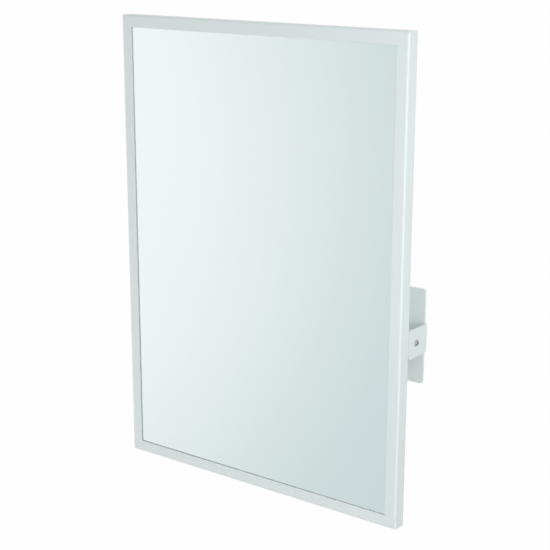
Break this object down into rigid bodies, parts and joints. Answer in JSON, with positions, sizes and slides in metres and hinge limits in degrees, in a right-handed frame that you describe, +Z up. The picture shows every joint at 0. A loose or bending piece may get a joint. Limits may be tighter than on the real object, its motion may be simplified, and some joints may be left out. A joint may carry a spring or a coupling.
{
  "type": "pivot wall mirror",
  "caption": "Framed rectangular wall mirror that tilts by friction on two side pivots held in folded wall brackets.",
  "frame": {"origin": "centre of the four wall slots, on the wall plane, level with the pivot axis and midway between the brackets", "axes": "+Z up, +X to the right of someone facing the mirror, +Y back into the wall"},
  "size_m": [0.5028, 0.0772, 0.6999],
  "materials": {
    "frame_coating": "satin white powder coat on steel profile",
    "bracket_coating": "satin white powder coat on folded steel sheet",
    "back_coating": "matte white coil coat on thin steel sheet",
    "silvered_glass": "polished float glass, silvered on its back",
    "clear_film": "woven polyethylene safety film",
    "padding_foam": "closed-cell polyethylene foam",
    "pale_foam": "white closed-cell glazing tape",
    "zinc_plate": "bright zinc plated steel",
    "screw_steel": "plain stainless steel",
    "pivot_steel": "polished stainless steel",
    "black_nylon": "moulded black nylon",
    "black_rubber": "moulded black rubber"
  },
  "bodies": {
    "wall_brackets": {"wall_bracket_left": "bracket_coating", "wall_bracket_right": "bracket_coating", "pivot_screw_left": "pivot_steel", "pivot_screw_right": "pivot_steel", "friction_discs": "black_nylon", "inner_friction_washers": "black_nylon", "steel_washers": "pivot_steel", "disc_springs": "pivot_steel", "lock_nuts": "pivot_steel"},
    "mirror": {"frame_top_rail": "frame_coating", "frame_bottom_rail": "frame_coating", "frame_left_stile": "frame_coating", "frame_right_stile": "frame_coating", "corner_keys": "zinc_plate", "corner_key_screws": "screw_steel", "glazing_tape": "pale_foam", "mirror_glass": "silvered_glass", "safety_film": "clear_film", "foam_sheet": "padding_foam", "back_panel": "back_coating", "retaining_clips": "zinc_plate", "clip_screws": "screw_steel", "rear_buffers": "black_rubber", "pivot_lug_left": "bracket_coating", "pivot_lug_right": "bracket_coating", "lug_screws": "screw_steel", "nut_bars": "zinc_plate", "pivot_bushes": "black_nylon"}
  },
  "joints": [
    {"name": "tilt", "type": "hinge", "parent": "wall_brackets", "child": "mirror", "pos_m": [0, -0.032, 0], "axis": [1, 0, 0], "range_deg": [-6.4, 10.4]}
  ]
}
